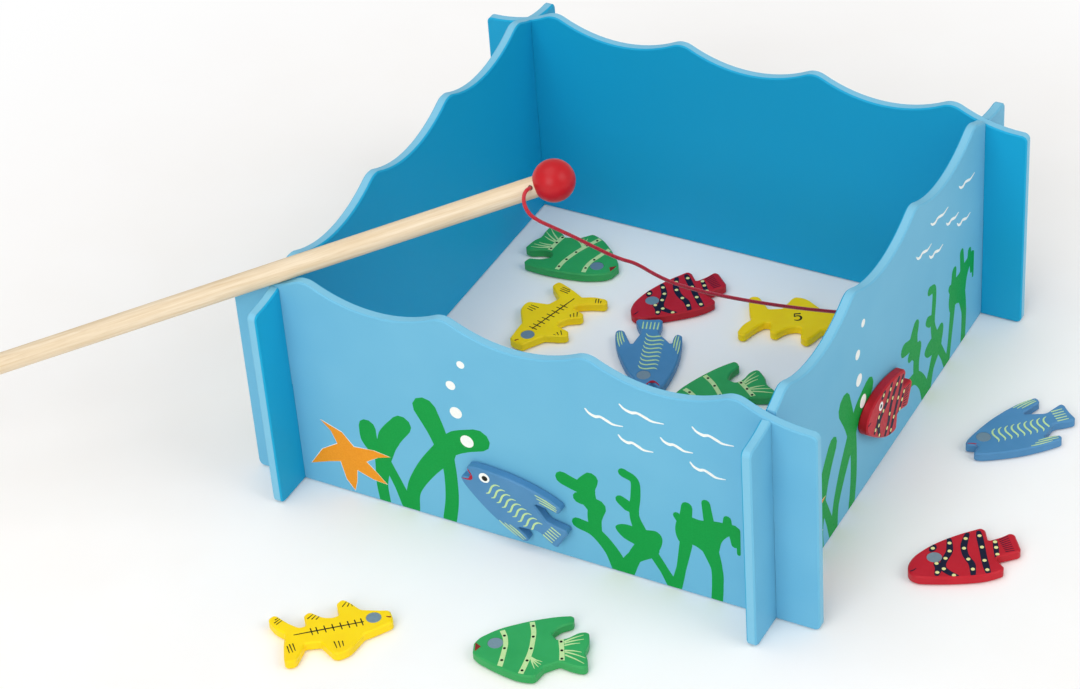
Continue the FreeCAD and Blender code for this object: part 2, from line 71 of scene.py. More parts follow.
def startMaterial(name):
    material = bpy.data.materials.new(name)
    material.use_nodes = True
    tree = material.node_tree
    tree.nodes.clear()
    place = addNode(tree, "ShaderNodeTexCoord").outputs["Object"]
    return material, tree, place


def endMaterial(tree, sockets):
    surface = addNode(tree, "ShaderNodeBsdfPrincipled", sockets)
    addNode(tree, "ShaderNodeOutputMaterial", {"Surface": surface.outputs["BSDF"]})


def twoTones(tree, pattern, facts, low=patternLow, high=patternHigh):
    # from colour to shade as the pattern goes from low to high
    share = addNode(tree, "ShaderNodeMapRange", {
        "Value": pattern, "From Min": low, "From Max": high,
    }).outputs["Result"]
    return addNode(tree, "ShaderNodeMix", {
        0: share, 6: hexToLinear(facts["colour"]), 7: hexToLinear(facts["shade"]),
    }, data_type="RGBA").outputs[2]


# Camera, at the photograph's viewing angle

cameraFacts = {
    "place": (0.5870, -0.9703, 0.9768),
    "right": (0.8827, 0.4655, -0.0636),
    "up": (-0.2379, 0.5597, 0.7937),
    "back": (0.4051, -0.6855, 0.6049),
    "lensMm": 106.0,
    "sensorMm": 36.0,
    "farEnd": 20.0,  # m
}

cameraData = bpy.data.cameras.new("studioCamera")
cameraData.sensor_fit = "HORIZONTAL"
cameraData.sensor_width = cameraFacts["sensorMm"]
cameraData.lens = cameraFacts["lensMm"]
cameraData.clip_end = cameraFacts["farEnd"]
cameraData.dof.use_dof = False
camera = bpy.data.objects.new("studioCamera", cameraData)
turn = Matrix([cameraFacts["right"], cameraFacts["up"], cameraFacts["back"]]).transposed()
camera.matrix_world = Matrix.Translation(cameraFacts["place"]) @ turn.to_4x4()
bpy.context.scene.collection.objects.link(camera)
bpy.context.scene.camera = camera
print("camera set")


# The cord, on the same route as its CAD tube

cordFacts = {
    "diameterMm": 1.8,
    "lengthMm": 275.0,
    "routeMm": [
        (-18.2, 57.6, 160.2), (-17.1, 54.0, 162.7), (-17.3, 49.3, 163.2), (-17.3, 47.6, 158.6),
        (-15.0, 47.9, 152.6), (-11.6, 50.6, 148.0), (-8.4, 57.1, 141.2), (-2.9, 66.6, 131.0),
        (4.7, 79.9, 115.8), (9.2, 87.7, 107.6), (13.2, 94.7, 101.9), (19.0, 104.9, 89.0),
        (25.5, 116.1, 77.4), (37.0, 136.2, 61.0), (52.0, 162.4, 42.0), (66.0, 186.8, 25.8),
        (77.8, 207.5, 13.0), (84.5, 219.0, 7.0), (88.5, 225.9, 7.0),
    ],
    "stepsAround": 5,
    "stepsAlong": 10,
    "colour": "#DA2034",
    # painted shade: the darker tone laid in the grooves between the strands
    "shade": "#BC1628",
    "strandMm": 0.8,  # from strand to strand of the braid
    "strandDepthMm": 0.15,
}


def makeCord():
    curve = bpy.data.curves.new("rodCord", "CURVE")
    curve.dimensions = "3D"
    curve.bevel_depth = 1.0  # times the points' own radius, so the curve's box is its true size
    curve.bevel_resolution = cordFacts["stepsAround"]
    curve.resolution_u = cordFacts["stepsAlong"]
    curve.use_fill_caps = True
    spline = curve.splines.new("NURBS")
    route = cordFacts["routeMm"]
    spline.points.add(len(route) - 1)
    for point, place in zip(spline.points, route):
        point.co = (*[value * mm for value in place], 1.0)
        point.radius = cordFacts["diameterMm"] / 2 * mm
    spline.order_u = 3
    spline.use_endpoint_u = True
    cord = bpy.data.objects.new("rodCord", curve)
    bpy.context.scene.collection.objects.link(cord)
    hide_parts("cord")
    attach(cord, "root")
    return cord


def braidedCotton():  # waxed braid: crimson with a soft sheen, with painted shade in the grooves between the strands
    material, tree, place = startMaterial("braidedCottonWaxed")
    weave = addNode(tree, "ShaderNodeTexVoronoi", {
        "Vector": place, "Scale": perMm / cordFacts["strandMm"],
    }).outputs["Distance"]
    relief = addNode(tree, "ShaderNodeBump", {
        "Height": weave, "Distance": -cordFacts["strandDepthMm"] * mm, "Strength": 1.0,
    }).outputs["Normal"]
    # the weave's grooves get the darker tone, painted shade between the strands
    endMaterial(tree, {
        "Base Color": twoTones(tree, weave, cordFacts, 0.15, 0.6), "Roughness": 0.42, "IOR": 1.5,
        "Sheen Weight": 0.25, "Sheen Roughness": 0.4, "Normal": relief,
    })
    return material


cord = makeCord()
cord.data.materials.append(braidedCotton())
print("cord laid")


# Floor and light

studioFacts = {
    "floorSize": 12.0,  # this and the next lengths in metres
    "floorDrop": 0.0002,
    "whiteAround": (0.0, 0.1, 0.0),
    "whiteFrom": 0.24,
    "whiteAt": 0.56,
    "colour": "#FBF8F5",
    "shade": "#FDFBF9",
    "mottleMm": 60.0,
    "skyStrength": 0.52,
    "reflectedSky": 0.45,
    "lamps": [
        # name, place, watts, size, aimed at
        ("overheadSoftbox", (-0.55, -0.45, 2.60), 21.0, 2.2, (0.0, 0.12, 0.05)),
        ("frontSoftbox", (0.05, -3.00, 1.80), 44.0, 2.2, (0.0, 0.1, 0.05)),
        ("sideSoftbox", (2.60, 0.10, 2.10), 27.0, 2.0, (0.0, 0.1, 0.05)),
    ],
}


def paperSweep():
    # matt white paper, very faintly mottled: away from the set it turns to plain white for the
    # eye, and near the set it keeps the shadows
    material, tree, place = startMaterial("paperFloor")
    mottle = addNode(tree, "ShaderNodeTexNoise", {
        "Vector": place, "Scale": perMm / studioFacts["mottleMm"], "Detail": 3.0, "Roughness": patternFine,
    }).outputs["Fac"]
    paper = addNode(tree, "ShaderNodeBsdfPrincipled", {
        "Base Color": twoTones(tree, mottle, studioFacts), "Roughness": 0.75, "IOR": 1.45,
    }).outputs["BSDF"]
    offset = addNode(tree, "ShaderNodeVectorMath", {
        0: place, 1: studioFacts["whiteAround"],
    }, operation="SUBTRACT").outputs["Vector"]
    distance = addNode(tree, "ShaderNodeVectorMath", {0: offset}, operation="LENGTH").outputs["Value"]
    away = addNode(tree, "ShaderNodeMapRange", {
        "Value": distance, "From Min": studioFacts["whiteFrom"], "From Max": studioFacts["whiteAt"],
    }, interpolation_type="SMOOTHSTEP").outputs["Result"]
    eye = addNode(tree, "ShaderNodeLightPath").outputs["Is Camera Ray"]
    share = addNode(tree, "ShaderNodeMath", {0: away, 1: eye}, operation="MULTIPLY").outputs["Value"]
    white = addNode(tree, "ShaderNodeEmission", {
        "Color": (1, 1, 1, 1), "Strength": 1.0,
    }).outputs["Emission"]
    mix = addNode(tree, "ShaderNodeMixShader", {0: share, 1: paper, 2: white}).outputs["Shader"]
    addNode(tree, "ShaderNodeOutputMaterial", {"Surface": mix})
    return material


def makeFloor():
    half = studioFacts["floorSize"] / 2
    mesh = bpy.data.meshes.new("studioFloor")
    corners = [(-half, -half, 0), (half, -half, 0), (half, half, 0), (-half, half, 0)]
    mesh.from_pydata(corners, [], [(0, 1, 2, 3)])
    mesh.materials.append(paperSweep())
    floor = bpy.data.objects.new("studioFloor", mesh)
    floor.location.z = -studioFacts["floorDrop"]
    bpy.context.scene.collection.objects.link(floor)


def makeLamps():
    for name, place, watts, width, target in studioFacts["lamps"]:
        data = bpy.data.lights.new(name, "AREA")
        data.energy = watts
        data.size = width
        lamp = bpy.data.objects.new(name, data)
        lamp.location = place
        aim = Vector(target) - Vector(place)
        lamp.rotation_euler = aim.to_track_quat("-Z", "Y").to_euler()
        bpy.context.scene.collection.objects.link(lamp)


def makeWorld():
    # white to the eye, softer as a light and softer still in reflections, so paint keeps its colour
    world = bpy.data.worlds.new("studioWorld")
    bpy.context.scene.world = world
    world.use_nodes = True
    tree = world.node_tree
    tree.nodes.clear()
    rays = addNode(tree, "ShaderNodeLightPath")
    lit = addNode(tree, "ShaderNodeMapRange", {
        "Value": rays.outputs["Is Glossy Ray"], "To Min": studioFacts["skyStrength"],
        "To Max": studioFacts["reflectedSky"],
    }).outputs["Result"]
    strength = addNode(tree, "ShaderNodeMapRange", {
        "Value": rays.outputs["Is Camera Ray"], "To Min": lit, "To Max": 1.0,
    }).outputs["Result"]
    sky = addNode(tree, "ShaderNodeBackground", {"Color": (1, 1, 1, 1), "Strength": strength})
    addNode(tree, "ShaderNodeOutputWorld", {"Surface": sky.outputs["Background"]})


makeFloor()
makeLamps()
makeWorld()
bpy.context.scene.view_settings.view_transform = "Standard"
print("floor, lamps and world set")


# Finishes of the CAD nodes

boardPaint = {
    "colour": "#6FB9D9",  # outer face, and its shade
    "shade": "#68B4D6",
    "inside": "#0BA5D2",
    # painted highlight: the board's edges, crest, ends and foot, a lighter blue than its faces
    "edge": "#7CC0DD",
    "edgeMm": 0.9,  # the edge colour ends this deep, and the face's is whole from the next depth
    "faceMm": 0.6,
    "cloudMm": 45.0,
    "orangePeelMm": 1.4,
    "orangePeelDepthMm": 0.02,
    "roughness": 0.55,
}


def lacqueredBoard(panel, axis, level, outward):
    # sprayed lacquer on fibreboard: even sky blue with a satin sheen, deeper on the inner face, with the
    # edges painted lighter as a painted highlight
    material, tree, place = startMaterial("sprayedLacquer_" + panel)
    depth = addNode(tree, "ShaderNodeSeparateXYZ", {"Vector": place}).outputs[axis]
    shares = []
    for face, inward in ((level, -outward), (level - outward * boardThickness, outward)):
        shares.append(addNode(tree, "ShaderNodeMapRange", {
            "Value": depth,
            "From Min": (face + inward * boardPaint["edgeMm"]) * mm,
            "From Max": (face + inward * boardPaint["faceMm"]) * mm,
        }).outputs["Result"])
    cloud = addNode(tree, "ShaderNodeTexNoise", {
        "Vector": place, "Scale": perMm / boardPaint["cloudMm"], "Detail": 2.0, "Roughness": patternFine,
    }).outputs["Fac"]
    # the edges take the lighter edge colour, a painted highlight
    colour = addNode(tree, "ShaderNodeMix", {
        0: shares[0], 6: hexToLinear(boardPaint["edge"]), 7: twoTones(tree, cloud, boardPaint),
    }, data_type="RGBA").outputs[2]
    colour = addNode(tree, "ShaderNodeMix", {
        0: shares[1], 6: colour, 7: hexToLinear(boardPaint["inside"]),
    }, data_type="RGBA").outputs[2]
    orangePeel = addNode(tree, "ShaderNodeTexNoise", {
        "Vector": place, "Scale": perMm / boardPaint["orangePeelMm"], "Detail": 1.0,
        "Roughness": patternFine,
    }).outputs["Fac"]
    relief = addNode(tree, "ShaderNodeBump", {
        "Height": orangePeel, "Distance": boardPaint["orangePeelDepthMm"] * mm, "Strength": 0.5,
    }).outputs["Normal"]
    endMaterial(tree, {
        "Base Color": colour, "Roughness": boardPaint["roughness"], "IOR": 1.45,
        "Specular IOR Level": 0.3, "Normal": relief,
    })
    return material


fishPaints = {
    "green": {"colour": "#36A65B", "shade": "#2E9E54", "roughness": 0.42},
    "yellow": {"colour": "#FFDC00", "shade": "#FBD300", "roughness": 0.42},
    "red": {"colour": "#C2182A", "shade": "#B71426", "roughness": 0.42},
    "blue": {"colour": "#528CBA", "shade": "#4B86B3", "roughness": 0.44},
}
brushWork = {"patchMm": 14.0, "rippleMm": 2.2, "rippleDepthMm": 0.04, "glossier": 0.05, "duller": 0.08}


def fishPaint(sort, facts):
    # thick brushed paint on plywood: strong colour, soft gloss, a little uneven
    material, tree, place = startMaterial("brushedPaint_" + sort)
    patches = addNode(tree, "ShaderNodeTexNoise", {
        "Vector": place, "Scale": perMm / brushWork["patchMm"], "Detail": 2.0, "Roughness": patternFine,
    }).outputs["Fac"]
    ripple = addNode(tree, "ShaderNodeTexNoise", {
        "Vector": place, "Scale": perMm / brushWork["rippleMm"], "Detail": 2.0, "Roughness": patternFine,
    }).outputs["Fac"]
    gloss = addNode(tree, "ShaderNodeMapRange", {
        "Value": ripple, "From Min": patternLow, "From Max": patternHigh,
        "To Min": facts["roughness"] - brushWork["glossier"],
        "To Max": facts["roughness"] + brushWork["duller"],
    }).outputs["Result"]
    relief = addNode(tree, "ShaderNodeBump", {
        "Height": ripple, "Distance": brushWork["rippleDepthMm"] * mm, "Strength": 0.6,
    }).outputs["Normal"]
    endMaterial(tree, {
        "Base Color": twoTones(tree, patches, facts), "Roughness": gloss, "IOR": 1.5,
        "Specular IOR Level": 0.25, "Normal": relief,
    })
    return material


discFacts = {
    "colour": "#93A3AC",
    "shade": "#A3B1B9",
    "scratchMm": 1.6,  # length; drawn coarser than the real scratches, so that they show
    "narrower": 6.0,
    "scratchDepthMm": 0.01,
    "metallic": 0.7,
    "roughness": (0.34, 0.5),
}


def zincedSteel():  # pressed zinc-plated disc: dull blue-grey with fine scratches
    material, tree, place = startMaterial("zincPlatedSteel")
    stretched = addNode(tree, "ShaderNodeMapping", {
        "Vector": place, "Scale": (1.0, discFacts["narrower"], 1.0),
    }).outputs["Vector"]
    scratches = addNode(tree, "ShaderNodeTexNoise", {
        "Vector": stretched, "Scale": perMm / discFacts["scratchMm"], "Detail": 4.0,
        "Roughness": patternFine,
    }).outputs["Fac"]
    bright, dull = discFacts["roughness"]
    gloss = addNode(tree, "ShaderNodeMapRange", {
        "Value": scratches, "From Min": patternLow, "From Max": patternHigh, "To Min": bright,
        "To Max": dull,
    }).outputs["Result"]
    relief = addNode(tree, "ShaderNodeBump", {
        "Height": scratches, "Distance": discFacts["scratchDepthMm"] * mm, "Strength": 0.5,
    }).outputs["Normal"]
    endMaterial(tree, {
        "Base Color": twoTones(tree, scratches, discFacts), "Metallic": discFacts["metallic"],
        "Roughness": gloss, "Normal": relief,
    })
    return material


rodFacts = {
    "axis": (0.83495, 0.46091, 0.30071),  # up the rod
    "across": (-0.48328, 0.87546, 0.0),
    "upper": (-0.26326, -0.14533, 0.95372),
    "colour": "#EAD9BE",
    "shade": "#D9C19C",
    "pore": "#B9935F",
    "poreShare": 0.35,
    "poreMm": 0.35,  # drawn coarser than the real pores, so that they show
    "grainMm": 1.3,
    "grainDepthMm": 0.03,
    "lengthwise": 0.035,  # the grain's width over its length
}


def sandedBeech():  # sanded bare dowel: cream, fine straight grain, matt with a faint sheen
    material, tree, place = startMaterial("beechSanded")
    turned = [
        addNode(tree, "ShaderNodeVectorMath", {
            0: place, 1: rodFacts[side],
        }, operation="DOT_PRODUCT").outputs["Value"]
        for side in ("axis", "across", "upper")
    ]
    slow = addNode(tree, "ShaderNodeMath", {
        0: turned[0], 1: rodFacts["lengthwise"],
    }, operation="MULTIPLY").outputs["Value"]
    along = addNode(tree, "ShaderNodeCombineXYZ", {
        "X": slow, "Y": turned[1], "Z": turned[2],
    }).outputs["Vector"]
    grain = addNode(tree, "ShaderNodeTexNoise", {
        "Vector": along, "Scale": perMm / rodFacts["grainMm"], "Detail": 4.0, "Roughness": patternFine,
    }).outputs["Fac"]
    pores = addNode(tree, "ShaderNodeTexNoise", {
        "Vector": along, "Scale": perMm / rodFacts["poreMm"], "Detail": 2.0, "Roughness": patternFine,
    }).outputs["Fac"]
    poreShare = addNode(tree, "ShaderNodeMapRange", {
        "Value": pores, "From Min": 0.55, "From Max": 0.8, "To Min": 0.0,
        "To Max": rodFacts["poreShare"],
    }).outputs["Result"]
    colour = addNode(tree, "ShaderNodeMix", {
        0: poreShare, 6: twoTones(tree, grain, rodFacts), 7: hexToLinear(rodFacts["pore"]),
    }, data_type="RGBA").outputs[2]
    relief = addNode(tree, "ShaderNodeBump", {
        "Height": grain, "Distance": rodFacts["grainDepthMm"] * mm, "Strength": 0.5,
    }).outputs["Normal"]
    endMaterial(tree, {"Base Color": colour, "Roughness": 0.55, "IOR": 1.5, "Normal": relief})
    return material


ballFacts = {
    "colour": "#C41822",
    "shade": "#BA141E",
    "patchMm": 9.0,
    "rippleMm": 1.8,
    "rippleDepthMm": 0.03,
    "roughness": 0.36,
}


def redLacquer():  # dipped lacquer on turned wood: deep red, soft highlight
    material, tree, place = startMaterial("dippedLacquerRed")
    patches = addNode(tree, "ShaderNodeTexNoise", {
        "Vector": place, "Scale": perMm / ballFacts["patchMm"], "Detail": 2.0, "Roughness": patternFine,
    }).outputs["Fac"]
    ripple = addNode(tree, "ShaderNodeTexNoise", {
        "Vector": place, "Scale": perMm / ballFacts["rippleMm"], "Detail": 2.0, "Roughness": patternFine,
    }).outputs["Fac"]
    relief = addNode(tree, "ShaderNodeBump", {
        "Height": ripple, "Distance": ballFacts["rippleDepthMm"] * mm, "Strength": 0.5,
    }).outputs["Normal"]
    endMaterial(tree, {
        "Base Color": twoTones(tree, patches, ballFacts), "Roughness": ballFacts["roughness"],
        "IOR": 1.5, "Specular IOR Level": 0.3, "Normal": relief,
    })
    return material


magnetFacts = {"colour": "#B8BABC", "shade": "#CBCCCD", "markMm": 0.9, "roughness": (0.22, 0.34)}


def nickelPlate():  # plated magnet: bright grey with a fine satin face
    material, tree, place = startMaterial("nickelPlated")
    marks = addNode(tree, "ShaderNodeTexNoise", {
        "Vector": place, "Scale": perMm / magnetFacts["markMm"], "Detail": 4.0, "Roughness": patternFine,
    }).outputs["Fac"]
    bright, dull = magnetFacts["roughness"]
    gloss = addNode(tree, "ShaderNodeMapRange", {
        "Value": marks, "From Min": patternLow, "From Max": patternHigh, "To Min": bright, "To Max": dull,
    }).outputs["Result"]
    endMaterial(tree, {
        "Base Color": twoTones(tree, marks, magnetFacts), "Metallic": 1.0, "Roughness": gloss,
    })
    return material


def dress(names, material):
    for name in names:
        data = nodes[name].data
        data.materials.clear()
        data.materials.append(material)


panelFaces = {
    # outward axis, level of the outer face in mm, which way it looks
    "front_panel": ("Y", -boardThickness / 2, -1),
    "back_panel": ("Y", pondSpacing + boardThickness / 2, 1),
    "right_panel": ("X", (pondSpacing + boardThickness) / 2, 1),
    "left_panel": ("X", -(pondSpacing + boardThickness) / 2, -1),
}
for panel, (axis, level, outward) in panelFaces.items():
    dress([panel], lacqueredBoard(panel, axis, level, outward))
for sort, facts in fishPaints.items():
    paint = fishPaint(sort, facts)
    dress([n for n in nodes if sort in n.split("_") and not n.endswith("_disc")], paint)
dress([n for n in nodes if n.endswith("_disc")], zincedSteel())
dress(["rod"], sandedBeech())
dress(["rod_ball", "magnet_holder"], redLacquer())
dress(["magnet"], nickelPlate())
print("finishes on the CAD nodes")


# Printed marks: thin films of ink on the fish and the panels

inkFacts = {
    "navy": {"colour": "#15182E", "shade": "#1B1F38"},
    "black": {"colour": "#15140F", "shade": "#201F18"},
    "cream": {"colour": "#ECE6A0", "shade": "#E2DC92"},
    "paleGreen": {"colour": "#C6E3A2", "shade": "#BBDA98"},
    "crimson": {"colour": "#B01F35", "shade": "#A31B30"},
    "white": {"colour": "#FAFBF6", "shade": "#F1F3EE"},
    "weed": {"colour": "#009C42", "shade": "#00963E"},
    "orange": {"colour": "#F19C22", "shade": "#EA921A"},
    "bloodRed": {"colour": "#8E2A22", "shade": "#82251E"},
}
inkGritMm = 0.8  # drawn coarser than real ink's grit, so that it shows


def screenInk(name):  # screen-printed ink: flat solid colour with a slightly dry, even face
    material, tree, place = startMaterial("screenInk_" + name)
    grit = addNode(tree, "ShaderNodeTexNoise", {
        "Vector": place, "Scale": perMm / inkGritMm, "Detail": 2.0, "Roughness": patternFine,
    }).outputs["Fac"]
    gloss = addNode(tree, "ShaderNodeMapRange", {
        "Value": grit, "From Min": patternLow, "From Max": patternHigh, "To Min": 0.45, "To Max": 0.55,
    }).outputs["Result"]
    endMaterial(tree, {
        "Base Color": twoTones(tree, grit, inkFacts[name]), "Roughness": gloss, "IOR": 1.5,
        "Specular IOR Level": 0.15,
    })
    return material


inks = {name: screenInk(name) for name in inkFacts}

filmFacts = {
    # mm above the board
    "strokeLift": 0.04,
    "dotLift": 0.07,
    "eyeLift": 0.08,
    "pupilLift": 0.1,
    "starRimLift": 0.03,
    "starLift": 0.05,
    "step": 0.002,  # each film a little above the one before, so no two share a plane
    "sink": 0.02,  # the films' lower side inside the board
    "flatWithin": 0.01,  # corners this near the board's face belong to it
    "curveSteps": 6,  # between two points of a smooth line
    "capSteps": 5,  # round a stroke's end
    "dotSides": 20,
}


def smoothLine(points):
    # a curve through all the points, with a straight run where there are only two
    line = [Vector((*p[:2], 0)) for p in points]
    if len(line) < 3:
        return line
    padded = [line[0] * 2 - line[1]] + line + [line[-1] * 2 - line[-2]]
    steps = filmFacts["curveSteps"]
    result = []
    for a, b, c, d in zip(padded, padded[1:], padded[2:], padded[3:]):
        for step in range(steps):
            f = step / steps
            result.append(0.5 * (
                2 * b + (c - a) * f + (2 * a - 5 * b + 4 * c - d) * f * f
                + (3 * b - a - 3 * c + d) * f ** 3))
    result.append(line[-1])
    return result


def roundCap(middle, first):
    arm = first - middle
    points = []
    for step in range(1, filmFacts["capSteps"]):
        angle = -math.pi * step / filmFacts["capSteps"]
        points.append(middle + Matrix.Rotation(angle, 3, "Z") @ arm)
    return points


def strokeOutline(points, widths, roundEnds):
    line = smoothLine(points)
    left, right = [], []
    count = len(line) - 1
    for index, place in enumerate(line):
        ahead = line[min(index + 1, count)] - line[max(index - 1, 0)]
        side = Vector((-ahead.y, ahead.x, 0)).normalized()
        f = index / count * (len(widths) - 1)
        k = min(int(f), len(widths) - 2)
        wide = widths[k] + (widths[k + 1] - widths[k]) * (f - k)
        left.append(place + side * wide / 2)
        right.append(place - side * wide / 2)
    outline = left
    if roundEnds:
        outline += roundCap(line[-1], left[-1])
    outline += right[::-1]
    if roundEnds:
        outline += roundCap(line[0], right[0])
    return outline


def stroke(ink, points, *widths, roundEnds=True):
    # the widths are spread evenly from end to end
    return (ink, strokeOutline(points, widths, roundEnds), filmFacts["strokeLift"])


def patch(ink, points):
    # a closed patch with a smooth edge through its points
    line = smoothLine(points[-1:] + points + points[:2])
    steps = filmFacts["curveSteps"]
    return (ink, line[steps:-steps - 1], filmFacts["strokeLift"])


def dot(ink, x, y, wide, lift=filmFacts["dotLift"]):
    sides = filmFacts["dotSides"]
    outline = []
    for step in range(sides):
        angle = 2 * math.pi * step / sides
        outline.append(Vector((x + wide / 2 * math.cos(angle), y + wide / 2 * math.sin(angle), 0)))
    return (ink, outline, lift)


def eye(white, pupil, ink="black"):
    # each with its middle and its width
    return [
        dot("white", *white, lift=filmFacts["eyeLift"]), dot(ink, *pupil, lift=filmFacts["pupilLift"]),
    ]


def moved(marks, turnDeg=0.0, shift=(0.0, 0.0), scale=1.0):
    turned = Matrix.Rotation(math.radians(turnDeg), 3, "Z")
    offset = Vector((*shift, 0))
    return [(ink, [turned @ p * scale + offset for p in outline], lift) for ink, outline, lift in marks]


def signedArea(outline):
    pairs = zip(outline, outline[1:] + outline[:1])
    return sum(a.x * b.y - b.x * a.y for a, b in pairs) / 2


def flatFace(carrier, toWorld):
    # the carrier's flat face under a print, in the print's own frame
    toPrint = toWorld.inverted()
    mesh = nodes[carrier].data
    corners = [toPrint @ vertex.co for vertex in mesh.vertices]
    flat = []
    for polygon in mesh.polygons:
        if all(abs(corners[i].z) < filmFacts["flatWithin"] for i in polygon.vertices):
            flat.append(polygon.vertices[:])
    return BVHTree.FromPolygons(corners, flat)


def makePrint(carrier, marks, toWorld):
    # each mark is a thin closed film: a cap above the board, a cap just inside it and a rim
    name = carrier + "_print"
    face = flatFace(carrier, toWorld)
    corners, faces, faceInks = [], [], []
    used = []
    for index, (ink, outline, lift) in enumerate(marks):
        # ink that would pass the face's edge ends there
        outline = [face.find_nearest(Vector((p.x, p.y, 0)))[0] for p in outline]
        if ink not in used:
            used.append(ink)
        if signedArea(outline) < 0:
            outline = outline[::-1]
        count = len(outline)
        top = len(corners)
        low = top + count
        rise = index * filmFacts["step"]
        corners += [(p.x, p.y, lift + rise) for p in outline]
        corners += [(p.x, p.y, -filmFacts["sink"] - rise) for p in outline]
        for triangle in tessellate_polygon([outline]):
            if signedArea([outline[i] for i in triangle]) < 0:
                triangle = triangle[::-1]
            faces.append([top + i for i in triangle])
            faces.append([low + i for i in triangle[::-1]])
        for i in range(count):
            after = (i + 1) % count
            faces.append([low + i, low + after, top + after, top + i])
        faceInks += [used.index(ink)] * (len(faces) - len(faceInks))
    mesh = bpy.data.meshes.new(name)
    mesh.from_pydata(corners, [], faces)
    mesh.polygons.foreach_set("material_index", faceInks)
    mesh.transform(toWorld)
    for ink in used:
        mesh.materials.append(inks[ink])
    piece = bpy.data.objects.new(name, mesh)
    bpy.context.scene.collection.objects.link(piece)
    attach(piece, "root")


# the red fish: navy bands with cream dots
def redMarks(printedEye):
    bands = [
        [(-9.8, 12.2), (-10.8, 11.0), (-12.0, 9.9)],
        [(-12.8, 1.6), (-13.2, -0.4), (-13.8, -3.4), (-15.6, -6.4)],
        [(-1.7, 14.2), (-2.4, 11.8), (-4.6, 6.4), (-8.0, 2.5), (-10.6, -0.8), (-11.3, -4.0), (-9.9, -7.6),
         (-7.7, -10.6)],
        [(7.5, 14.9), (5.7, 12.3), (2.9, 7.4), (1.6, 2.4), (1.6, -1.5), (1.9, -5.0), (0.8, -9.2),
         (-0.3, -12.2)],
        [(13.0, 14.5), (12.3, 11.8), (10.5, 4.2), (8.6, -3.4), (7.2, -10.2), (6.7, -13.2)],
    ]
    dots = [
        (-10.9, 11.0), (-13.1, 0.6), (-15.0, -5.3), (-2.4, 11.8), (-4.4, 6.6), (-8.0, 2.5), (-11.3, -4.0),
        (-8.6, -9.6), (5.7, 12.3), (2.5, 6.2), (1.6, -1.5), (1.0, -8.6), (12.4, 12.0), (10.5, 4.2),
        (8.2, -4.8), (7.0, -11.2), (17.5, 5.6), (16.5, 1.8), (15.3, -2.8),
    ]
    marks = [stroke("navy", band, 2.3, 3.2, 3.0, 3.2, 2.4) for band in bands]
    tailBand = [(17.7, 6.2), (17.4, 5.2), (16.4, 1.8), (15.2, -2.0), (14.6, -4.2)]
    marks.append(stroke("navy", tailBand, 2.0, 2.6, 2.0))
    marks += [dot("cream", x, y, 1.9) for x, y in dots]
    for index in range(8):  # fine rays of the tail
        height = 6.9 - index * 1.35
        ray = [(19.6, height * 0.9), (24.6 - index * 0.15, height * 1.08)]
        marks.append(stroke("navy", ray, 0.42, 0.3))
    marks.append(stroke("navy", [(-26.3, -0.4), (-24.8, -0.2), (-23.2, 0.5)], 0.7, 0.4))
    if printedEye:
        marks += eye((-12.4, 5.9, 4.6), (-12.4, 5.9, 2.2), "navy")
    return moved(marks, -3.0)


# the blue fish: pale ribs, fin rays and crimson lips
def blueMarks(printedEye):
    marks = []
    for index in range(9):
        u = -12.2 + index * 3.3
        rib = [
            (u + 1.5, 4.8), (u - 0.2, 3.6), (u - 0.9, 1.1), (u - 0.1, -2.1), (u + 0.1, -3.6),
            (u - 0.6, -5.0),
        ]
        marks.append(stroke("paleGreen", rib, 0.35, 0.85, 1.0, 0.9, 0.35))
    for index in range(5):  # rays of the tail
        across = 7.4 - index * 1.9
        marks.append(stroke("paleGreen", [(19.8, across), (25.2, across * 1.04)], 0.75, 0.5))
    lips = [(-27.0, -1.2), (-24.6, -2.6), (-23.4, -4.2), (-24.8, -6.2), (-26.0, -7.8)]
    marks.append(stroke("crimson", lips, 1.0, 1.7, 2.7, 2.4, 1.0))
    marks = moved(marks, -9.5)
    finLines = [
        [(6.5, 15.8), (12.0, 16.6), (17.8, 16.9)], [(8.0, 14.5), (13.5, 15.5), (18.6, 15.8)],
        [(10.0, 13.4), (14.8, 14.3), (18.8, 14.7)], [(3.6, -11.4), (8.5, -12.0), (13.4, -13.1)],
        [(1.2, -12.4), (6.8, -13.2), (12.8, -14.3)], [(-1.6, -13.2), (3.5, -14.2), (9.0, -14.9)],
    ]
    marks += [stroke("paleGreen", line, 0.4, 0.75, 0.35) for line in finLines]
    if printedEye:
        marks += eye((-17.9, 5.2, 5.6), (-17.6, 5.1, 3.0))
    return marks


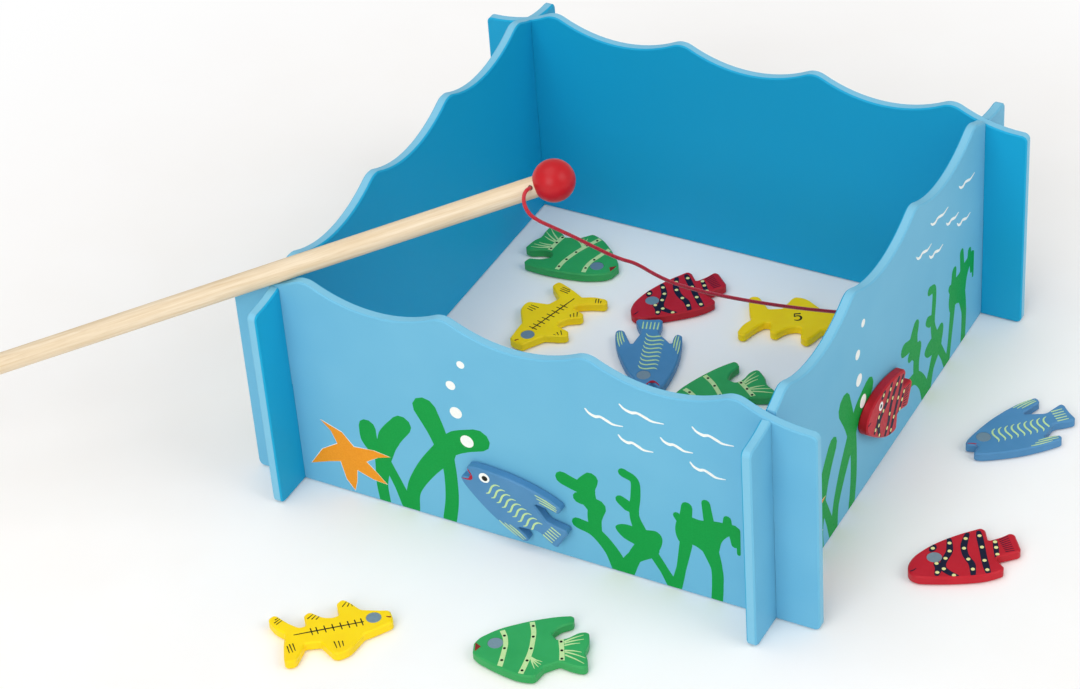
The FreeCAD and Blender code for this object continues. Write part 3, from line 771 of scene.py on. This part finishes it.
# the green fish: pale bands with dark dots, fin and tail rays
def greenMarks(printedEye):
    bands = [
        [(-13.1, 17.2), (-12.0, 13.0), (-11.8, 8.0), (-12.5, 4.0), (-14.0, -3.0), (-14.9, -6.4)],
        [(0.6, 21.4), (1.1, 15.0), (0.5, 9.0), (-0.8, 2.0), (-3.0, -5.0), (-5.6, -12.0)],
        [(13.2, 8.6), (13.3, 1.0), (13.1, -5.4)],
    ]
    dots = [
        (-12.2, 13.6), (-12.4, 5.3), (-13.8, -2.4), (1.0, 18.7), (0.8, 11.6), (-0.4, 3.9), (-2.5, -3.8),
        (-4.9, -10.0), (13.2, 7.0), (13.3, 1.2), (13.1, -4.2),
    ]
    marks = [stroke("paleGreen", band, 2.4, 2.2, 2.5, roundEnds=False) for band in bands]
    marks += [dot("black", x, y, 1.4) for x, y in dots]
    rootX, rootY = -0.9, -1.6  # of the side fin's rays
    for endX, endY in ((4.2, -5.2), (3.6, -7.0), (2.4, -8.5), (0.6, -9.3)):
        bend = ((rootX + endX) / 2, (rootY + endY) / 2 - 0.5)
        marks.append(stroke("paleGreen", [(rootX, rootY), bend, (endX, endY)], 0.8, 0.6, 0.25))
    tailX = 14.9  # where the tail's rays start, then each ray's start and end
    rays = (
        (7.0, 23.4, 10.4), (6.0, 23.4, 7.6), (4.4, 21.6, 5.2), (1.0, 22.0, -0.8), (0.0, 23.6, -4.8),
        (-2.0, 22.8, -8.3),
    )
    for start, endX, endY in rays:
        bend = ((tailX + endX) / 2, (start + endY) / 2 + 0.3)
        marks.append(stroke("paleGreen", [(tailX, start), bend, (endX, endY)], 0.9, 0.7, 0.25))
    lips = [Vector((-25.6, 10.5, 0)), Vector((-25.8, 4.7, 0)), Vector((-23.0, 7.5, 0))]
    marks.append(("bloodRed", lips, filmFacts["strokeLift"]))
    if printedEye:
        marks += eye((-16.0, 9.0, 5.0), (-16.0, 9.0, 2.6))
    return moved(marks, 7.3, (0.0, -4.1))


# the yellow fish: a black fishbone and short fin lines
def yellowMarks(printedEye):
    spineX, spineY, slope = -17.3, -7.1, 0.241  # the spine's tail end, and its rise per mm
    marks = [stroke("black", [(spineX, spineY), (-2.0, -3.4), (13.8, 0.4)], 0.55, 0.75, 0.7, 0.6)]
    for u in (-9.5, -7.0, -3.4, 0.2, 3.8, 7.2, 10.4, 13.2):  # bones across it
        v = spineY + (u - spineX) * slope
        marks.append(stroke("black", [(u - 0.7, v + 2.1), (u + 0.7, v - 2.1)], 0.6, 0.5))
    fins = [
        [(3.5, 11.2), (5.0, 14.2)], [(5.8, 11.2), (7.2, 14.3)], [(8.0, 11.4), (9.0, 14.2)],
        [(-12.0, 3.6), (-9.8, 6.4)], [(-10.0, 3.2), (-8.0, 6.2)], [(-8.0, 3.0), (-6.4, 5.6)],
        [(-27.0, 1.4), (-24.8, 3.9)], [(-26.9, 3.4), (-25.2, 5.2)], [(-26.0, 0.4), (-23.8, 2.8)],
        [(-18.9, -13.4), (-16.9, -18.6)], [(-17.4, -13.0), (-15.8, -17.6)],
        [(-19.8, -14.6), (-18.4, -19.0)], [(1.4, -12.4), (3.0, -16.6)],
        [(3.4, -12.2), (4.6, -16.2)], [(5.2, -12.2), (6.0, -15.4)],
    ]
    marks += [stroke("black", line, 0.55, 0.35) for line in fins]
    marks.append(stroke("bloodRed", [(24.4, 3.5), (25.2, 3.2), (26.2, 3.2)], 0.5, 0.9))
    if printedEye:
        marks += eye((18.4, 3.0, 4.8), (18.4, 3.0, 2.4))
    return moved(marks, 166.5)


def numberFive():  # the plain figure on the back of a fish, about 5 mm tall
    flag = stroke("black", [(1.6, 2.3), (-1.2, 2.3)], 0.8, 0.8, roundEnds=False)
    stem = stroke("black", [(-1.1, 2.6), (-1.35, 0.3)], 0.55, 0.55, roundEnds=False)
    bowl = stroke("black", [
        (-1.35, 0.3), (-0.2, 0.8), (1.0, 0.45), (1.55, -0.7), (1.0, -2.0), (-0.2, -2.45), (-1.5, -2.1)],
        0.5, 0.8, 1.0, 0.85, 0.5)
    return [flag, stem, bowl]


fishMarks = {"red": redMarks, "blue": blueMarks, "green": greenMarks, "yellow": yellowMarks}

looseFish = {
    # node: sort, middle in mm, turn of the tail from +X
    "green_fish_back": ("green", -84.4, 209.0, 168.2),
    "yellow_fish_left": ("yellow", -67.6, 153.7, 75.4),
    "red_fish_inside": ("red", -16.7, 194.0, 58.2),
    "blue_fish_inside": ("blue", -9.0, 146.8, 117.0),
    "green_fish_right": ("green", 37.7, 130.5, 47.0),
    "yellow_fish_front": ("yellow", -53.3, -91.5, 219.9),
    "green_fish_front": ("green", 38.3, -69.1, 22.4),
    "red_fish_outside": ("red", 191.3, 64.7, 46.2),
    "blue_fish_outside": ("blue", 181.0, 161.9, 53.3),
}
turnedFish = {
    "node": "yellow_fish_turned",
    "figure": (46.2, 202.8),  # middle in mm
    "figureTurn": 30.0,
    "figureScale": 1.15,
}

gluedFish = {
    # node: sort, panel's turn about Z, place along it and height in mm, slope
    "front_blue_fish": ("blue", 0.0, -4.0, 26.0, -27.0),
    "right_red_fish": ("red", 90.0, -9.0, 34.7, -18.3),
    "back_green_fish": ("green", 180.0, -3.0, 33.0, -18.0),
    "left_yellow_fish": ("yellow", 270.0, -3.0, 33.0, 160.0),
}


millimetres = Matrix.Scale(mm, 4)


def panelPlace(turnDeg, along, height, out):
    # the frame of an upright print: x along the panel, y up, z out of its face
    middle = Vector((0, pondSpacing / 2, 0))
    turned = Matrix.Rotation(math.radians(turnDeg), 4, "Z")
    upright = Matrix.Rotation(math.radians(90), 4, "X")
    offset = turned.to_3x3() @ Vector((along, -pondSpacing / 2 - out, height))
    return millimetres @ Matrix.Translation(middle + offset) @ turned @ upright


def lyingPlace(x, y, turnDeg):
    # the frame of a print on the upper face of a fish that lies flat
    turned = Matrix.Rotation(math.radians(turnDeg), 4, "Z")
    return millimetres @ Matrix.Translation((x, y, boardThickness)) @ turned


def printFish():
    for node, (sort, x, y, turnDeg) in looseFish.items():
        makePrint(node, fishMarks[sort](False), lyingPlace(x, y, turnDeg))
    for node, (sort, panelTurn, along, height, slope) in gluedFish.items():
        place = panelPlace(panelTurn, along, height, boardThickness * 1.5)  # half a panel and a fish
        place = place @ Matrix.Rotation(math.radians(slope), 4, "Z")
        makePrint(node, fishMarks[sort](True), place)
    x, y = turnedFish["figure"]
    figure = moved(numberFive(), scale=turnedFish["figureScale"])
    makePrint(turnedFish["node"], figure, lyingPlace(x, y, turnedFish["figureTurn"]))


printFish()
print("fish printed")


# The sea picture on the panels' outer faces, in mm along the panel and above the floor

seaFacts = {
    "foot": 0.8,  # the weeds end at the broken lower edge of the board
    "bubbles": ((-27.6, 98.4, 4.1), (-34.0, 84.6, 5.0), (-32.6, 69.0, 6.4), (-28.1, 53.4, 7.0)),
    "wavelets": (
        # left end, length and drop
        (35.8, 93.0, 18.6, 4.6), (53.4, 101.0, 21.6, 4.6), (52.0, 83.0, 17.0, 4.6),
        (73.2, 88.2, 15.6, 3.8), (89.2, 99.4, 19.8, 4.6), (87.4, 78.8, 17.0, 4.6),
    ),
}

starFacts = {
    "middle": (-94.8, 22.6),
    "rim": 0.3,  # narrow white rim left by the print
    "arms": [
        # bulge before the tip, tip, bulge after it, hollow to the next arm
        (-110.0, 22.6), (-117.4, 11.6), (-107.0, 15.8), (-100.4, 18.0),
        (-98.2, 7.8), (-94.0, 2.0), (-92.2, 8.4), (-91.4, 15.4),
        (-83.0, 12.4), (-75.2, 11.8), (-80.4, 17.4), (-85.6, 22.4),
        (-79.0, 27.0), (-71.8, 29.6), (-80.6, 30.8), (-91.8, 29.6),
        (-97.6, 36.6), (-109.0, 40.8), (-103.8, 35.6), (-101.0, 28.6),
    ],
}

weeds = {
    # each stroke is its points, then its widths from end to end, and a closed patch has no width
    "behindStarfish": [
        ([(-77.4, 0.6), (-78.0, 12.0), (-76.4, 24.0), (-76.0, 34.0)], (6.0, 6.4, 8.4, 10.0)),
        ([(-79.0, 30.0), (-82.4, 37.0), (-82.8, 44.4)], (7.0, 9.6, 9.2)),
        ([(-75.4, 28.0), (-71.4, 41.0), (-63.4, 52.0)], (8.0, 11.4, 10.6)),
        ([(-64.0, 0.6), (-68.4, 13.0), (-74.0, 26.0)], (7.4, 5.8, 5.4)),
    ],
    "underBubbles": [
        ([(-61.8, 0.6), (-60.2, 14.0), (-52.0, 29.0), (-41.0, 43.0)], (6.8, 7.4, 9.8, 12.0)),
        ([(-40.8, 42.0), (-44.4, 54.0), (-49.6, 66.0)], (8.0, 10.4, 13.0)),
        ([(-42.0, 44.0), (-33.0, 51.4), (-22.0, 56.0)], (10.0, 12.6, 12.4)),
        ([(-42.0, 0.6), (-39.6, 14.0), (-39.0, 28.0), (-39.8, 42.0)], (7.2, 7.2, 7.0, 7.4)),
    ],
    "behindFish": [
        ([(49.6, 0.6), (44.4, 12.0), (36.4, 20.6), (27.8, 23.0)], (9.8, 7.8, 7.0, 6.4)),
        ([(37.0, 21.0), (36.8, 29.0), (38.6, 36.4)], (6.4, 7.4, 9.0)),
        ([(37.6, 33.0), (33.6, 38.4), (29.4, 38.6)], (7.0, 8.0, 6.6)),
        ([(33.6, 40.0), (33.0, 46.0), (36.0, 51.8)], (9.4, 10.4, 7.8)),
        ([(34.4, 44.4), (27.0, 46.0), (21.4, 47.8)], (7.4, 7.4, 7.6)),
    ],
    "middle": [
        ([(50.6, 0.6), (56.4, 12.0), (63.6, 20.4)], (9.8, 6.8, 12.0)),
        ([(58.0, 19.6), (51.0, 22.4), (47.4, 27.4), (52.2, 30.6), (61.6, 30.6), (68.6, 31.6),
          (71.4, 27.4), (68.8, 19.4), (63.6, 15.6)], ()),
        ([(61.0, 27.0), (57.6, 38.0), (58.8, 50.0), (58.6, 58.6), (53.0, 61.4)],
         (7.4, 5.0, 5.0, 4.6, 5.0)),
        ([(58.4, 40.0), (54.6, 42.2), (51.0, 44.6)], (3.6, 6.6, 5.4)),
        ([(76.4, 0.6), (71.8, 9.0), (65.0, 20.0)], (6.6, 5.0, 5.4)),
    ],
    "right": [
        ([(77.2, 0.6), (80.4, 14.0), (83.4, 30.0)], (5.8, 4.8, 6.4)),
        ([(80.4, 29.6), (78.2, 36.6), (80.4, 44.6), (86.0, 46.4), (91.4, 46.2), (98.6, 48.0),
          (105.0, 48.4), (110.6, 47.4), (108.4, 43.2), (104.8, 41.2), (101.4, 36.6), (99.4, 29.0),
          (95.6, 25.4), (90.8, 28.6), (86.8, 30.2)], ()),
        ([(83.4, 42.0), (84.6, 51.8)], (6.6, 5.6)),
        ([(82.0, 41.4), (79.4, 45.0)], (4.6, 4.0)),
        ([(95.6, 45.0), (94.2, 57.0)], (5.4, 4.4)),
        ([(104.6, 45.0), (104.6, 51.2)], (5.6, 4.0)),
        ([(107.6, 46.0), (108.0, 37.4)], (6.0, 3.6)),
        ([(109.8, 46.4), (109.8, 32.6)], (2.2, 1.8)),
        ([(94.6, 33.0), (98.4, 20.0), (98.6, 10.0), (98.0, 0.6)], (9.4, 6.0, 5.8, 5.8)),
    ],
}


def wavelet(x, z, length, drop):
    shape = ((0, 0), (0.1, 0.43), (0.26, 0.65), (0.4, 0.52), (0.6, 0.83), (0.74, 1.04), (1, 0.96))
    points = [(x + along * length, z - down * drop) for along, down in shape]
    return stroke("white", points, 0.7, 1.2, 1.6, 1.3, 1.5, 1.1, 0.4)


def starfish():
    # five bent arms in orange on a slightly larger white ground
    outline = [Vector((*p, 0)) for p in starFacts["arms"]]
    middle = Vector((*starFacts["middle"], 0))
    rim = [p + (p - middle).normalized() * starFacts["rim"] for p in outline]
    return [("white", rim, filmFacts["starRimLift"]), ("orange", outline, filmFacts["starLift"])]


def seaPicture():
    marks = []
    for plant in weeds.values():
        for points, widths in plant:
            marks.append(stroke("weed", points, *widths) if widths else patch("weed", points))
    marks += starfish()
    marks += [dot("white", *facts) for facts in seaFacts["bubbles"]]
    marks += [wavelet(*facts) for facts in seaFacts["wavelets"]]
    foot = seaFacts["foot"]
    return [
        (ink, [Vector((p.x, max(p.y, foot), 0)) for p in outline], lift) for ink, outline, lift in marks
    ]


panelTurns = {"front_panel": 0, "right_panel": 90, "back_panel": 180, "left_panel": 270}
for panel, turnDeg in panelTurns.items():
    makePrint(panel, seaPicture(), panelPlace(turnDeg, 0.0, 0.0, boardThickness / 2))
print("panels printed")


# End

print("scene built")
